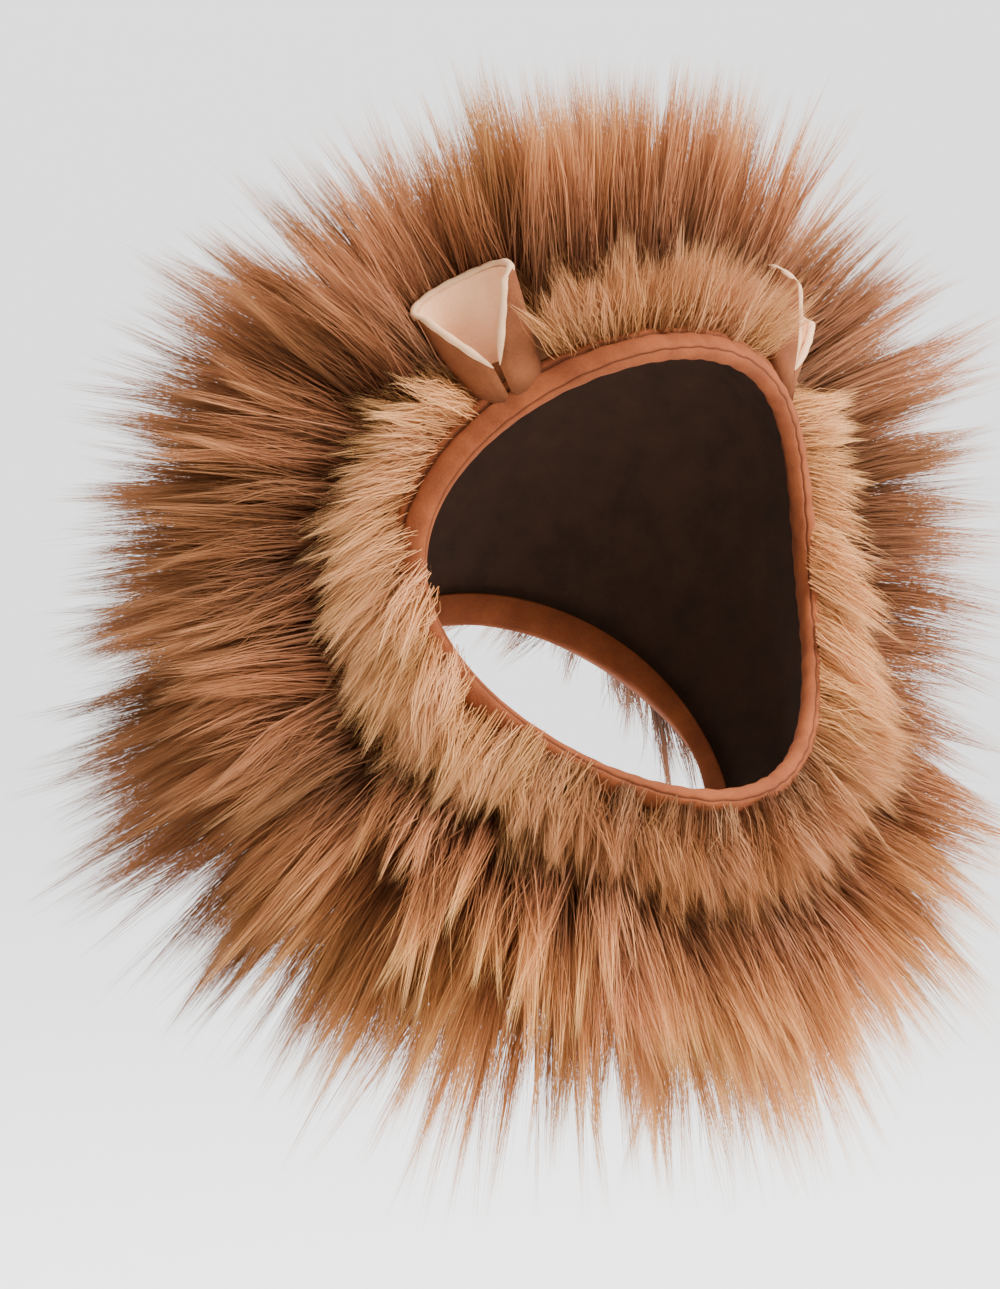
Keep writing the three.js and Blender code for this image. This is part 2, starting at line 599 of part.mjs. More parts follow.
// The ruff's locks and ground, grown by the clearance, make the room that the mane leaves for them
const grown = (lock) => ({ ...lock, pile: lock.pile + 4 * CLEARANCE, radius: lock.radius + CLEARANCE });
const ruffLockList = ruffLocks();
const ruff = furSolid(ruffGround(), ruffLockList, earRooms);
const ruffRoom = joined([
  wallSolid(() => -BINDING_ROLL, () => ruffEnd + CLEARANCE / 2, -LINING_WALL, furFace + CLEARANCE),
  ...ruffLockList.map(grown).map(lockSolid),
]);
const mane = furSolid(maneGround(), maneLocks(), joined([earRooms, ruffRoom, hemRoom()]));

const BROWN = '#7a4a2c';
const TAN = '#b98a62';
const BINDING_BROWN = '#9a5a36';
const FELT_BROWN = '#a5693f';
const PINK = '#e8c4b0';
const LINING_BROWN = '#6b3f28';

const hood = new THREE.Group();
for (const panel of PANELS) hood.add(meshOf(`lining_${panel.name}`, liningPanel(panel), LINING_BROWN, 0.9));
hood.add(meshOf('face_binding', faceBinding(), BINDING_BROWN, 0.85));
hood.add(meshOf('neck_hem', neckHem(), BINDING_BROWN, 0.85));
hood.add(meshOf('ruff_fur', ruff, TAN, 0.8));
hood.add(meshOf('mane_fur', mane, BROWN, 0.8));
for (const [side, matrix] of Object.entries(ears)) {
  const inner = EAR_FELT + EAR_EASE;
  hood.add(meshOf(`ear_${side}_felt`, earSheet(matrix, 0, EAR_FELT, 1), FELT_BROWN, 0.9));
  const lining = earSheet(matrix, inner, inner + EAR_LINING, 1 - EAR_RIM / EAR_HEIGHT);
  hood.add(meshOf(`ear_${side}_lining`, lining, PINK, 0.9));
}

// The top of the inside of the crown goes to the origin
hood.position.copy(facePoint(0, hoodLength(0) * SEAT_SHARE)).negate();
hood.position.z += LINING_WALL;

const part = new THREE.Group();
part.add(hood);

export default part;
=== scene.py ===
"""A lion's mane wig for a small pet: its cloth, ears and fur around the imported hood.

Sizes are in millimetres in the hood's own frame, and turn into metres in the row frame where a mesh is
made.
"""
import math

import bpy
import numpy as np
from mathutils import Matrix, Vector


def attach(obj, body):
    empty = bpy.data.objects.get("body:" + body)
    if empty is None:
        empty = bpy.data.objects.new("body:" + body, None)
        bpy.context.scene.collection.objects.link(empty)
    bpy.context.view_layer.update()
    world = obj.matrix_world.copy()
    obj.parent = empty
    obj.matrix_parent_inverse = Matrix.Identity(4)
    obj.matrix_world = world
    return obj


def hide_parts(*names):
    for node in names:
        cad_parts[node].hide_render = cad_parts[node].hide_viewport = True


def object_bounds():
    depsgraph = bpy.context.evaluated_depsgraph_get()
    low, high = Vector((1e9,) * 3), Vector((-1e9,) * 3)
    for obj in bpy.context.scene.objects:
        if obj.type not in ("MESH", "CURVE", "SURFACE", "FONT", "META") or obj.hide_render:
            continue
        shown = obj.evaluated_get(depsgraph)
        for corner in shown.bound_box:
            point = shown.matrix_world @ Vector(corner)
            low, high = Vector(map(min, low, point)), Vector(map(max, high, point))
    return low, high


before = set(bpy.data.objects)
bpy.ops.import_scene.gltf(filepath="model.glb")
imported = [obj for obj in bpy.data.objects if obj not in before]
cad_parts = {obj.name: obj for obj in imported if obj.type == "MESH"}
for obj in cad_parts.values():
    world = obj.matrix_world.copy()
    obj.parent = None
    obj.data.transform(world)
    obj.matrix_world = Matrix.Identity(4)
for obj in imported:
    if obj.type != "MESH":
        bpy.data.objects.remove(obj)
cad_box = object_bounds()

MM = 0.001
OFFSET = np.array([0.0, -42.14, -76.69])  # from the hood's own frame to the row frame
DEGREES = math.pi / 180

# The camera, in the row frame in millimetres: level with the brow, 34 degrees to the wearer's right
CAMERA_AZIMUTH = -34 * DEGREES
CAMERA_ELEVATION = 3 * DEGREES
CAMERA_DISTANCE = 1400
BROW = np.array([0.0, -42.14, -7.69])
BROW_PIXEL = (690, 345)
PICTURE = (1000, 1289)
PIXELS_PER_MM = 3.3
SENSOR = 36.0


def unit(v):
    return v / np.maximum(np.linalg.norm(v, axis=-1, keepdims=True), 1e-12)


def add_camera():
    look = np.array(
        [
            -math.sin(CAMERA_AZIMUTH) * math.cos(CAMERA_ELEVATION),
            math.cos(CAMERA_AZIMUTH) * math.cos(CAMERA_ELEVATION),
            -math.sin(CAMERA_ELEVATION),
        ]
    )
    right = unit(np.cross(look, [0, 0, 1]))
    up = np.cross(right, look)
    aside = (PICTURE[0] / 2 - BROW_PIXEL[0]) / PIXELS_PER_MM
    above = (BROW_PIXEL[1] - PICTURE[1] / 2) / PIXELS_PER_MM
    place = BROW + right * aside + up * above - look * CAMERA_DISTANCE
    data = bpy.data.cameras.new("camera")
    data.sensor_width = SENSOR
    data.lens = PIXELS_PER_MM * CAMERA_DISTANCE * SENSOR / PICTURE[1]
    data.clip_end = 50
    camera = bpy.data.objects.new("camera", data)
    camera.location = place * MM
    camera.rotation_euler = Vector(look).to_track_quat("-Z", "Y").to_euler()
    bpy.context.scene.collection.objects.link(camera)
    bpy.context.scene.camera = camera


add_camera()

# The hood's form, as the solids have it
FACE = (75, 69)
CROWN = (81, 84)
NECK = (60, 65)
HOOD_DEPTH = 80
HOOD_DROP = 60
NECK_TILT = 50 * DEGREES
CHEEK_SWEEP = 46
CHIN_REACH = 18
SQUARENESS = 0.06
# Columns: back, down, tilt, face, crown, neck
SECTIONS = np.array(
    [
        [0.0, 0.0, 0.0, 1.0, 0.0, 0.0],
        [0.15, 0.0, 0.08, 0.45, 0.55, 0.0],
        [0.4, 0.07, 0.24, 0.0, 1.0, 0.0],
        [0.62, 0.23, 0.44, 0.0, 1.0, 0.0],
        [0.81, 0.5, 0.68, 0.0, 0.68, 0.32],
        [0.94, 0.8, 0.88, 0.0, 0.26, 0.74],
        [1.0, 1.0, 1.0, 0.0, 0.0, 1.0],
    ]
)
LINING_WALL = 2.2
CLEARANCE = 0.3
BACKING_WALL = 2.0
FUR_FACE = CLEARANCE + BACKING_WALL
RUFF_START = 8.3
RUFF_END = 25.3
MANE_START = 25.6
HEM_LEG = 9.0
ROOT_LIFT = 1.1
BINDING_FACE = 2.0


def along(t):
    """The table's columns at shares t of its rows, on a smooth line through them."""
    last = len(SECTIONS) - 1
    at = np.clip(t, 0, 1) * last
    row = np.minimum(np.floor(at).astype(int), last - 1)
    f = (at - row)[..., None]
    a, b, c, d = (SECTIONS[np.clip(row + k, 0, last)] for k in (-1, 0, 1, 2))
    return b + 0.5 * f * (c - a + f * (2 * a - 5 * b + 4 * c - d + f * (3 * (b - c) + d - a)))


def section_point(turn, t):
    turn, t = np.broadcast_arrays(np.asarray(turn, float), np.asarray(t, float))
    back, down, tilt, face, crown, neck = np.moveaxis(along(t), -1, 0)
    width, height = (face * FACE[i] + crown * CROWN[i] + neck * NECK[i] for i in (0, 1))
    fullness = 1 + SQUARENESS * crown * np.sin(2 * turn) ** 2
    aside = width * np.sin(turn) * fullness
    up = height * np.cos(turn) * fullness
    angle = NECK_TILT * tilt
    sweep = (1 - t) * (CHEEK_SWEEP * np.sin(turn) ** 2 - CHIN_REACH * (1 - np.cos(turn)) / 2)
    y = HOOD_DEPTH * back + up * np.sin(angle) + sweep
    z = -HOOD_DROP * down + up * np.cos(angle)
    return np.stack([aside, y, z], -1)


# Running lengths from the face edge, on a grid of turns, and the table share at even steps of the length
GRID_TURNS = np.linspace(-math.pi, math.pi, 361)
GRID_SHARES = np.linspace(0, 1, 81)
EVEN = np.linspace(0, 1, 121)
_points = section_point(GRID_TURNS[:, None], GRID_SHARES[None, :])
_sums = np.cumsum(np.linalg.norm(np.diff(_points, axis=1), axis=2), axis=1)
_sums = np.concatenate([np.zeros((len(GRID_TURNS), 1)), _sums], axis=1)
LENGTHS = _sums[:, -1]
SHARE_GRID = np.array([np.interp(EVEN * total, row, GRID_SHARES) for total, row in zip(LENGTHS, _sums)])


def wrap(turn):
    return (np.asarray(turn, float) + math.pi) % (2 * math.pi) - math.pi


def hood_length(turn):
    return np.interp(wrap(turn), GRID_TURNS, LENGTHS)


def share_at(turn, distance):
    """The table share at a distance from the face edge."""
    x = (wrap(turn) + math.pi) / (2 * math.pi) * (len(GRID_TURNS) - 1)
    y = np.clip(distance / hood_length(turn), 0, 1) * (len(EVEN) - 1)
    i = np.minimum(x.astype(int), len(GRID_TURNS) - 2)
    j = np.minimum(y.astype(int), len(EVEN) - 2)
    u, v = x - i, y - j
    g = SHARE_GRID
    low = g[i, j] * (1 - u) + g[i + 1, j] * u
    high = g[i, j + 1] * (1 - u) + g[i + 1, j + 1] * u
    return low * (1 - v) + high * v


def face_point(turn, distance):
    """A point of the hood's outer face, carried straight on past either edge."""
    turn, distance = np.broadcast_arrays(np.asarray(turn, float), np.asarray(distance, float))
    inside = np.clip(distance, 0, hood_length(turn))
    point = section_point(turn, share_at(turn, inside))
    step = 1 / 40
    front = unit(section_point(turn, np.zeros_like(turn)) - section_point(turn, np.full_like(turn, step)))
    rear = unit(section_point(turn, np.ones_like(turn)) - section_point(turn, np.full_like(turn, 1 - step)))
    beyond = distance - inside
    return point + front * np.maximum(-beyond, 0)[..., None] + rear * np.maximum(beyond, 0)[..., None]


def frame_at(turn, distance, lift=0.0):
    """The point above the outer face, with the directions out of it, back along it and round it."""
    step, swing = 0.5, 0.01
    back = unit(face_point(turn, distance + step) - face_point(turn, distance - step))
    across = face_point(turn + swing, distance) - face_point(turn - swing, distance)
    per_turn = np.linalg.norm(across, axis=-1) / (2 * swing)
    out = unit(np.cross(across, back))
    lift = np.asarray(lift, float)
    point = face_point(turn, distance) + out * (lift[..., None] if lift.ndim else lift)
    return point, out, back, unit(across), per_turn


def above_hood(points, turn, distance):
    """How far points lie above the outer face, from a first guess of their turn and distance."""
    for _ in range(8):
        point, out, back, across, per_turn = frame_at(turn, distance)
        gap = points - point
        turn = turn + (gap * across).sum(-1) / per_turn
        distance = distance + (gap * back).sum(-1)
    point, out, *_ = frame_at(turn, distance)
    return ((points - point) * out).sum(-1), out


# Meshes and materials
def make_mesh(name, verts, loops, starts, material, attributes=None, uvs=None):
    mesh = bpy.data.meshes.new(name)
    mesh.vertices.add(len(verts))
    mesh.vertices.foreach_set("co", ((verts + OFFSET) * MM).astype(np.float32).ravel())
    mesh.loops.add(len(loops))
    mesh.loops.foreach_set("vertex_index", loops.astype(np.int32))
    mesh.polygons.add(len(starts))
    mesh.polygons.foreach_set("loop_start", starts.astype(np.int32))
    mesh.polygons.foreach_set("use_smooth", np.full(len(starts), True))
    for key, values in (attributes or {}).items():
        layer = mesh.attributes.new(key, "FLOAT", "POINT")
        layer.data.foreach_set("value", values.astype(np.float32).ravel())
    if uvs is not None:
        mesh.uv_layers.new(name="OFBake").data.foreach_set("uv", uvs.astype(np.float32).ravel())
    mesh.update(calc_edges=True)
    mesh.validate()
    mesh.materials.append(material)
    obj = bpy.data.objects.new(name, mesh)
    bpy.context.scene.collection.objects.link(obj)
    return obj


def grid_faces(rows, columns, closed_rows=False, closed_columns=False):
    """Quads of a grid of rows x columns points."""
    i, j = np.meshgrid(
        np.arange(rows if closed_rows else rows - 1),
        np.arange(columns if closed_columns else columns - 1),
        indexing="ij",
    )
    i, j = i.ravel(), j.ravel()
    a = i * columns + j
    b = i * columns + (j + 1) % columns
    c = ((i + 1) % rows) * columns + (j + 1) % columns
    d = ((i + 1) % rows) * columns + j
    return np.stack([a, b, c, d], 1)


def quad_mesh(name, verts, quads, material, **more):
    starts = np.arange(len(quads)) * 4
    return make_mesh(name, verts, quads.ravel(), starts, material, **more)


def smooth_noise(rng, points, size, octaves=3):
    """A sum of sine waves in fixed random directions: a soft noise from about -1 to 1."""
    total = np.zeros(points.shape[:-1])
    weight = 1.0
    norm = 0.0
    for _ in range(octaves):
        for _ in range(5):
            direction = unit(rng.normal(size=3))
            phase = points @ direction * (2 * math.pi / size) + rng.uniform(0, 2 * math.pi)
            total += weight * np.sin(phase)
        norm += weight * 1.6
        weight *= 0.5
        size *= 0.5
    return total / norm


def linear(r, g, b):
    """A colour from 0-255 display values."""
    shares = (v / 255 for v in (r, g, b))
    return tuple(v / 12.92 if v <= 0.04045 else ((v + 0.055) / 1.055) ** 2.4 for v in shares) + (1.0,)


class Nodes:
    """Short calls for a material's node tree."""

    def __init__(self, name, **sockets):
        self.material = bpy.data.materials.new(name)
        self.material.use_nodes = True
        self.tree = self.material.node_tree
        self.shader = self.tree.nodes["Principled BSDF"]
        for key, value in sockets.items():
            self.shader.inputs[key.replace("_", " ")].default_value = value

    def node(self, kind, inputs=None, **settings):
        node = self.tree.nodes.new(kind)
        for key, value in settings.items():
            setattr(node, key, value)
        for key, value in (inputs or {}).items():
            if isinstance(value, bpy.types.NodeSocket):
                self.tree.links.new(value, node.inputs[key])
            else:
                node.inputs[key].default_value = value
        return node

    def math(self, operation, a, b=0.0):
        return self.node("ShaderNodeMath", {0: a, 1: b}, operation=operation).outputs[0]

    def attribute(self, name):
        return self.node("ShaderNodeAttribute", attribute_name=name).outputs["Fac"]

    def ramp(self, factor, *stops):
        node = self.node("ShaderNodeValToRGB", {"Fac": factor})
        node.color_ramp.elements[0].position = stops[0][0]
        node.color_ramp.elements[0].color = stops[0][1]
        node.color_ramp.elements[1].position = stops[-1][0]
        node.color_ramp.elements[1].color = stops[-1][1]
        for place, colour in stops[1:-1]:
            node.color_ramp.elements.new(place).color = colour
        return node.outputs["Color"]

    def mix(self, factor, a, b):
        node = self.node("ShaderNodeMix", data_type="RGBA")
        for index, value in ((0, factor), (6, a), (7, b)):
            if isinstance(value, bpy.types.NodeSocket):
                self.tree.links.new(value, node.inputs[index])
            else:
                node.inputs[index].default_value = value
        return node.outputs[2]

    def place(self):
        return self.node("ShaderNodeNewGeometry").outputs["Position"]

    def noise(self, scale, detail, roughness=0.5):
        inputs = {"Vector": self.place(), "Scale": scale, "Detail": detail, "Roughness": roughness}
        return self.node("ShaderNodeTexNoise", inputs).outputs["Fac"]

    def bump(self, height, strength, distance):
        inputs = {"Height": height, "Strength": strength, "Distance": distance}
        return self.node("ShaderNodeBump", inputs).outputs["Normal"]

    def link(self, socket, name):
        self.tree.links.new(socket, self.shader.inputs[name])


def fur_material(name, stops, chin_stops, lock_dark, lock_light):
    """Fur that runs from a dark root, painted shade deep in the pile, to a pale tip, painted light shining
    through the thin ends, with each lock and each strand a little different. It turns into the second run
    of colours where the chin attribute says so."""
    n = Nodes(name, Roughness=0.6, Specular_IOR_Level=0.14)
    share = n.attribute("share")
    lock = n.attribute("lock")
    tone = n.attribute("tone")
    shifted = n.math("ADD", share, n.math("MULTIPLY", tone, 0.07))
    colour = n.mix(n.attribute("chin"), n.ramp(shifted, *stops), n.ramp(shifted, *chin_stops))
    paler = n.math("MAXIMUM", lock, 0.0)
    darker = n.math("MAXIMUM", n.math("MULTIPLY", lock, -1.0), 0.0)
    colour = n.mix(n.math("MULTIPLY", paler, 0.4), colour, lock_light)
    colour = n.mix(n.math("MULTIPLY", darker, 0.5), colour, lock_dark)
    value = n.math("ADD", 1.0, n.math("MULTIPLY", tone, 0.13))
    hue = n.math("ADD", 0.5, n.math("MULTIPLY", lock, -0.006))
    inputs = {"Color": colour, "Value": value, "Hue": hue}
    n.link(n.node("ShaderNodeHueSaturation", inputs).outputs[0], "Base Color")
    return n.material


# Colours along a strand from root to tip: the dark roots are painted shade deep in the pile, the pale tips
# painted light shining through the thin ends
MANE_STOPS = (
    (0.0, linear(54, 28, 16)),
    (0.25, linear(100, 58, 35)),
    (0.5, linear(140, 86, 53)),
    (0.8, linear(166, 108, 68)),
    (1.0, linear(192, 138, 94)),
)
# The chin's colours, also laid a little over the crown: the bright golden tips are a painted glow of light
# shining through the thin strands
BEARD_STOPS = (
    (0.0, linear(46, 24, 14)),
    (0.3, linear(94, 53, 32)),
    (0.5, linear(148, 89, 53)),
    (0.65, linear(200, 132, 77)),
    (0.8, linear(238, 176, 106)),
    (1.0, linear(252, 206, 138)),
)
# The ruff's colours likewise: the darker roots are painted shade, the paler tips painted light shining
# through
RUFF_STOPS = (
    (0.0, linear(176, 114, 66)),
    (0.3, linear(208, 146, 90)),
    (0.65, linear(222, 162, 106)),
    (1.0, linear(230, 174, 118)),
)
RUFF_CHIN_STOPS = (
    (0.0, linear(82, 43, 22)),
    (0.4, linear(130, 76, 42)),
    (0.75, linear(164, 102, 60)),
    (1.0, linear(204, 144, 92)),
)
MANE_LOCKS = (linear(74, 38, 22), linear(204, 146, 98))
RUFF_LOCKS = (linear(180, 120, 72), linear(234, 180, 124))
MANE_FUR = fur_material("mane_fibre", MANE_STOPS, BEARD_STOPS, *MANE_LOCKS)
RUFF_FUR = fur_material("ruff_fibre", RUFF_STOPS, RUFF_CHIN_STOPS, *RUFF_LOCKS)


# Fur
# Round the head from the brow to the chin: length in mm, lean back, sway towards the chin, and droop
MANE_ROUND = {
    "turn": np.array([0, 50, 95, 140, 180]) * DEGREES,
    "pile": np.array([0.95, 1.06, 1.06, 1.0, 0.9]) * 80,
    "lean": np.array([0.05, -0.1, -0.28, -0.2, -0.12]),
    "sway": np.array([0.0, 0.1, 0.18, 0.08, 0.0]),
    "droop": np.array([0.0, 0.05, 0.2, 0.35, 0.5]),
    "rear": np.array([0.0, 0.06, 0.14, 0.14, 0.04]),  # how much longer the rearmost fur is
    "fall": np.array([0.55, 0.35, 0.24, 0.26, 0.5]),  # how much further back the rearmost fur leans
}
# The same for the ruff, which lies down and towards the chin on the cheeks, and falls over the binding
# below them
RUFF_ROUND = {
    "turn": np.array([0, 30, 60, 90, 112, 128, 150, 180]) * DEGREES,
    "pile": np.array([30, 28, 31, 34, 36, 37, 31, 29]),
    "lean": np.array([-0.1, 0.0, 0.2, 0.2, 0.0, -0.1, -0.2, -0.3]),
    "sway": np.array([0.0, 0.15, 0.5, 0.8, 0.75, 0.15, 0.1, 0.0]),
    "droop": np.array([0.0, 0.05, 0.1, 0.2, 0.3, 0.15, 0.4, 0.6]),
}
RIBBON_LEVELS = 4  # points along a strand
ATLAS_ROWS = 48


def round_value(table, key, turn):
    return np.interp(np.abs(wrap(turn)), table["turn"], table[key])


# Ears, as the solids have them
EAR_HEIGHT = 30
EAR_HALF_WIDTHS = (12, 18)
EAR_HALF_DEPTHS = (6, 11)
EAR_WRAPS = (0.985, 0.6)
EAR_FLAP_DROP = 0.22
EAR_ANGLE = 39.5 * DEGREES
EAR_SET = 12
EAR_TURN = 42 * DEGREES
EAR_SPLAY = 23 * DEGREES
EAR_RAKE = 14 * DEGREES
EAR_FELT = 1.5
EAR_LINING = 1.1
EAR_RIM = 1.2
EAR_ROLL = 1.35  # radius of the lining's turned edge


def ear_frame(side):
    """An ear's seat, with its width, back and up directions: side is -1 for the wearer's right ear."""
    point = frame_at(np.array(side * EAR_ANGLE), np.array(float(EAR_SET)), FUR_FACE + CLEARANCE)[0]
    up = unit(np.array([side * math.tan(EAR_SPLAY), math.tan(EAR_RAKE), 1.0]))
    back = np.array([-side * math.sin(EAR_TURN), math.cos(EAR_TURN), 0.0])
    back = unit(back - up * (back @ up))
    return point, np.stack([np.cross(back, up), back, up])


EARS = {"right": ear_frame(-1), "left": ear_frame(1)}


def ear_halves(up):
    low, high = EAR_HALF_WIDTHS
    near, far = EAR_HALF_DEPTHS
    return low + (high - low) * up**0.8, near + (far - near) * up


def in_ears(points, grow=0.0):
    """Whether points lie in the space of either ear."""
    hit = np.zeros(points.shape[:-1], bool)
    for seat, axes in EARS.values():
        local = (points - seat) @ axes.T
        up = np.clip(local[..., 2] / EAR_HEIGHT, 0, 1)
        half_width, half_depth = ear_halves(up)
        ring = np.hypot(local[..., 0] / (half_width + grow), local[..., 1] / (half_depth + grow))
        hit |= (ring < 1) & (local[..., 2] > 1) & (local[..., 2] < EAR_HEIGHT + grow)
    return hit


def clear_of_ears(paths, grow):
    """Whether strands stay out of both ears, also between their points."""
    hit = in_ears(paths, grow).any(1)
    for share in (0.25, 0.5, 0.75):
        hit |= in_ears(paths[:, :-1] * (1 - share) + paths[:, 1:] * share, grow).any(1)
    return ~hit


def before_ears(turn, distance):
    """Whether roots lie in front of an ear or under its foot, where no fur grows."""
    hit = np.zeros(np.shape(turn), bool)
    for side in (-1, 1):
        aside = (turn - side * EAR_ANGLE) * 80
        hit |= (np.abs(aside + side * 1.5) < 13.5) & (distance < EAR_SET + 7)
    return hit


def disc(rng, count):
    angle = rng.uniform(0, 2 * math.pi, count)
    radius = np.sqrt(rng.uniform(0, 1, count))
    return np.stack([radius * np.cos(angle), radius * np.sin(angle)], 1)


def grow_fur(rng, clumps, sub_locks, strands, spread):
    """Strands of fur in pointed clumps of smaller locks. clumps holds an array for each setting. Returns
    the strands' paths, and for each strand its clump and its share of the clump's length."""
    count = len(clumps["turn"])
    # Small locks, each a bundle in its clump
    owner = np.repeat(np.arange(count), sub_locks)
    spot = disc(rng, len(owner)) * clumps["radius"][owner, None]
    lift = clumps.get("lift", np.full(count, ROOT_LIFT))
    root, out, back, across, per_turn = frame_at(clumps["turn"], clumps["distance"], lift)
    way = unit(out + back * clumps["lean"][:, None] + across * clumps["sway"][:, None])
    curl = np.cross(way, unit(rng.normal(size=(count, 3)))) * clumps["curl"][:, None]
    sub_curl = rng.normal(size=(len(owner), 3)) * 0.04
    sub_reach = rng.uniform(0.84, 1.02, len(owner))
    # Some small locks are loose underfur, shorter and hardly drawn together, and the rest are pointed tufts
    loose = rng.uniform(0, 1, len(owner)) < clumps["loose"][owner]
    sub_reach = np.where(loose, sub_reach * rng.uniform(0.66, 0.9, len(owner)), sub_reach)
    # Strands, each in its small lock
    lock = np.repeat(np.arange(len(owner)), strands)
    clump = owner[lock]
    own = disc(rng, len(lock)) * (spread * np.where(loose[lock], 1.4, 1.0))[:, None]
    turn = clumps["turn"][clump] + (spot[lock, 0] + own[:, 0]) / per_turn[clump]
    distance = clumps["distance"][clump] + spot[lock, 1] + own[:, 1]
    start = frame_at(turn, distance, lift[clump])[0]
    hub = root[clump] + across[clump] * spot[lock, :1] + back[clump] * spot[lock, 1:]
    off_strand = start - hub
    off_lock = across[clump] * spot[lock, :1] + back[clump] * spot[lock, 1:]
    # Many strands end before the tip of their lock, so that it thins out to a point
    reach = sub_reach[lock] * (1 - 0.3 * rng.beta(1.0, 2.4, len(lock)))
    stray = rng.uniform(0, 1, len(lock)) < clumps["stray"][clump]
    reach = np.where(stray, reach * rng.uniform(0.9, 1.1, len(lock)), reach)
    waviness = np.where(stray, 0.07, np.where(loose[lock], 0.05, 0.008))
    bend = rng.normal(size=(len(lock), 3)) * waviness[:, None]
    hold = np.where(stray | loose[lock], 0.35, 1.0)[:, None]
    frizz = np.where(loose[lock], 1.3, 0.5)  # mm that the middle of a strand waves aside
    s = np.linspace(0, 1, RIBBON_LEVELS)
    s = s * (0.85 + 0.15 * s)  # points a little closer near the root
    length = clumps["pile"][clump] * reach
    paths = np.empty((len(lock), RIBBON_LEVELS, 3))
    for k, share in enumerate(s):
        at = (share * reach)[:, None]
        full = clumps["pile"][clump][:, None]
        guide = root[clump] + way[clump] * full * at + curl[clump] * full * at**2
        guide[:, 2] -= clumps["droop"][clump] * clumps["pile"][clump] * at[:, 0] ** 2 / 2
        gather = 1 - clumps["gather"][clump][:, None] * hold * at**2.2
        tight = 1 - 0.95 * hold * at**2.2
        wave = rng.normal(size=(len(lock), 3)) * (frizz * math.sin(math.pi * share))[:, None]
        paths[:, k] = (
            guide
            + off_lock * gather
            + off_strand * tight
            + sub_curl[lock] * full * at**2
            + bend * length[:, None] * share**2
            + wave
        )
    return paths, clump, reach


LOOSE_REACH = 11.5  # how far fur may stand past the solids' box
LEAST = np.array(cad_box[0]) / MM - OFFSET - LOOSE_REACH
MOST = np.array(cad_box[1]) / MM - OFFSET + LOOSE_REACH
TIP_TAPER = 2.2  # the higher, the nearer its tip a strand starts to narrow


def within(paths):
    """Whether strands stay as near to the solids' box as loose fur may."""
    return ((paths > LEAST) & (paths < MOST)).all((1, 2))


def ribbons(name, rng, paths, shares, tones, locks, chin, widths, material):
    """One joined mesh of flat tapered strands, each with a place of its own in the UV map."""
    count, levels, _ = paths.shape
    tangent = unit(np.gradient(paths, axis=1))
    roll = rng.normal(size=(count, 1, 3))
    side = unit(np.cross(tangent, roll))
    s = np.linspace(0, 1, levels)
    half = widths[:, None] * (1 - s**TIP_TAPER)[None, :] * 0.5
    left = paths - side * half[..., None]
    right = paths + side * half[..., None]
    per = 2 * levels - 1
    verts = np.empty((count, per, 3))
    verts[:, 0:-1:2] = left[:, :-1]
    verts[:, 1:-1:2] = right[:, :-1]
    verts[:, -1] = paths[:, -1]
    level_of = np.repeat(np.arange(levels - 1), 2).tolist() + [levels - 1]
    quads = np.array([[2 * i, 2 * i + 1, 2 * i + 3, 2 * i + 2] for i in range(levels - 2)])
    last = np.array([2 * (levels - 2), 2 * (levels - 2) + 1, per - 1])
    corners = np.concatenate([quads.ravel(), last])
    loops = (corners[None, :] + np.arange(count)[:, None] * per).ravel()
    sizes = np.array([4] * (levels - 2) + [3])
    first = np.concatenate([[0], np.cumsum(sizes)[:-1]])
    starts = (first[None, :] + np.arange(count)[:, None] * len(corners)).ravel()
    # UV cells
    columns = math.ceil(count / ATLAS_ROWS)
    cell = np.arange(count)
    u0, v0 = (cell % columns) / columns, (cell // columns) / ATLAS_ROWS
    side_share = np.array([0.2, 0.8] * (levels - 1) + [0.5])
    along_share = np.array([0.04 + 0.92 * s[k] for k in level_of])
    uv = np.stack(
        [u0[:, None] + side_share[None, :] / columns, v0[:, None] + along_share[None, :] / ATLAS_ROWS], -1
    )
    uvs = uv[:, corners].reshape(-1, 2)
    attributes = {
        "share": (s[level_of][None, :] * shares[:, None]).ravel(),
        "tone": np.repeat(tones, per),
        "lock": np.repeat(locks, per),
        "chin": np.repeat(chin, per),
    }
    obj = make_mesh(name, verts.reshape(-1, 3), loops, starts, material, attributes=attributes, uvs=uvs)
    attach(obj, "root")
    return obj


def brow_tuft(turn):
    """How many times longer the fur is, because of the tuft that stands up over the brow."""
    return 1 + 0.13 * np.exp(-(((wrap(turn) / DEGREES - 4) / 8) ** 2))


